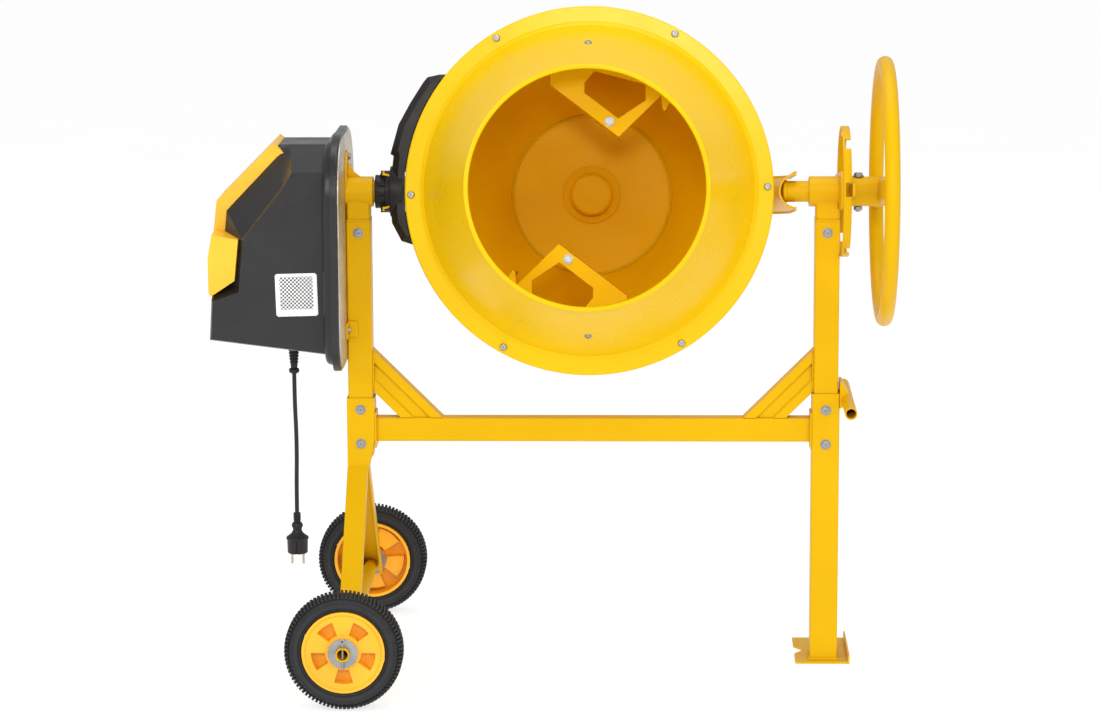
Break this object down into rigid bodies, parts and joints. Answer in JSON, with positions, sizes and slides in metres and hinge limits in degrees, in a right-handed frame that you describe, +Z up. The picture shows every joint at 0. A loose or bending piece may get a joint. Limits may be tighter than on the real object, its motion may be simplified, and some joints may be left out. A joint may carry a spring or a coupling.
{
  "type": "concrete mixer",
  "caption": "Upright electric concrete mixer: tilting two-cone drum on a tube stand with two wheels, cased motor drive and a locking handwheel.",
  "frame": {"origin": "on the ground under the middle of the bounding box", "axes": "+X from the motor end to the handwheel, -Y is the side the drum mouth faces, +Z up"},
  "size_m": [1.0998, 0.67, 1.0797],
  "materials": {
    "yellow_paint": "glossy powder coat",
    "drum_paint": "glossy enamel",
    "black_plastic": "satin moulded",
    "guard_plastic": "satin moulded",
    "yellow_plastic": "moulded",
    "rim_plastic": "moulded",
    "tyre_rubber": "matt",
    "cord_rubber": "matt",
    "zinc": "zinc plated",
    "galvanised": "galvanised sheet",
    "machined_steel": "turned",
    "cast_iron": "as cast",
    "aluminium": "die cast",
    "bush_plastic": "moulded",
    "belt_rubber": "ribbed",
    "green_plastic": "moulded",
    "red_plastic": "moulded",
    "pin_metal": "nickel plated"
  },
  "bodies": {
    "frame": {"left_post": "yellow_paint", "right_post": "yellow_paint", "cross_beam": "yellow_paint", "beam_end_plates": "yellow_paint", "braces": "yellow_paint", "leg_front": "yellow_paint", "leg_rear": "yellow_paint", "axle": "yellow_paint", "axle_fasteners": "zinc", "right_leg": "yellow_paint", "foot_plate": "yellow_paint", "transport_handle": "yellow_paint", "left_bearing_bracket": "yellow_paint", "right_bearing_bracket": "yellow_paint", "pivot_bushes": "bush_plastic", "index_ring": "yellow_paint", "frame_bolts": "zinc", "motor_back_plate": "galvanised", "lower_tab": "yellow_paint", "motor_housing": "black_plastic", "housing_trim": "yellow_plastic", "housing_screws": "zinc", "motor_stator": "aluminium", "motor_mount": "galvanised", "switch_box": "black_plastic", "capacitor": "black_plastic", "cable_gland": "cord_rubber", "power_cord": "cord_rubber", "power_plug": "cord_rubber", "plug_pins": "pin_metal", "drive_belt": "belt_rubber"},
    "yoke": {"yoke": "yellow_paint", "yoke_shaft": "yellow_paint", "pivot_tube": "yellow_paint", "pinion_bushes": "bush_plastic", "gear_guard": "guard_plastic", "drum_spindle": "machined_steel"},
    "drum": {"drum_rear_shell": "drum_paint", "drum_front_cone": "drum_paint", "ring_gear": "cast_iron", "drum_hub": "drum_paint", "drum_bearings": "machined_steel", "upper_paddle": "drum_paint", "lower_paddle": "drum_paint", "drum_screws": "zinc"},
    "pinion": {"pinion": "machined_steel", "pinion_shaft": "machined_steel", "large_pulley": "aluminium"},
    "rotor": {"motor_rotor": "machined_steel", "cooling_fan": "black_plastic", "small_pulley": "machined_steel"},
    "handwheel": {"handwheel": "yellow_paint", "handwheel_bolt": "zinc", "lock_spring": "machined_steel"},
    "front_wheel": {"front_tyre": "tyre_rubber", "front_wheel_rim": "rim_plastic"},
    "rear_wheel": {"rear_tyre": "tyre_rubber", "rear_wheel_rim": "rim_plastic"},
    "start_button": {"start_button": "green_plastic"},
    "stop_button": {"stop_button": "red_plastic"}
  },
  "joints": [
    {"name": "drum_tilt", "type": "hinge", "parent": "frame", "child": "yoke", "pos_m": [0.061, 0, 0.78], "axis": [1, 0, 0], "range_deg": [-225, 67.5]},
    {"name": "drum_spin", "type": "hinge", "parent": "yoke", "child": "drum", "pos_m": [0.061, 0, 0.78], "axis": [0, -0.9863, 0.165], "continuous": true},
    {"name": "pinion_spin", "type": "hinge", "parent": "yoke", "child": "pinion", "pos_m": [0.061, 0, 0.78], "axis": [1, 0, 0], "continuous": true},
    {"name": "motor_spin", "type": "hinge", "parent": "frame", "child": "rotor", "pos_m": [-0.439, 0, 0.615], "axis": [1, 0, 0], "continuous": true},
    {"name": "handwheel_pull", "type": "slide", "parent": "yoke", "child": "handwheel", "axis": [1, 0, 0], "range_m": [-0.008, 0.004], "deforming": ["lock_spring"]},
    {"name": "front_wheel_spin", "type": "hinge", "parent": "frame", "child": "front_wheel", "pos_m": [-0.3225, -0.301, 0.094], "axis": [0, 1, 0], "continuous": true},
    {"name": "rear_wheel_spin", "type": "hinge", "parent": "frame", "child": "rear_wheel", "pos_m": [-0.3225, 0.301, 0.094], "axis": [0, 1, 0], "continuous": true},
    {"name": "start_press", "type": "slide", "parent": "frame", "child": "start_button", "axis": [1, 0, 0], "range_m": [0, 0.003], "stiffness_N_per_m": 400, "springref_m": -0.002},
    {"name": "stop_press", "type": "slide", "parent": "frame", "child": "stop_button", "axis": [1, 0, 0], "range_m": [0, 0.003], "stiffness_N_per_m": 400, "springref_m": -0.002}
  ],
  "couplings": [
    {"joint": "pinion_spin", "follows": "drum_spin", "ratio": 11},
    {"joint": "motor_spin", "follows": "drum_spin", "ratio": 88}
  ]
}
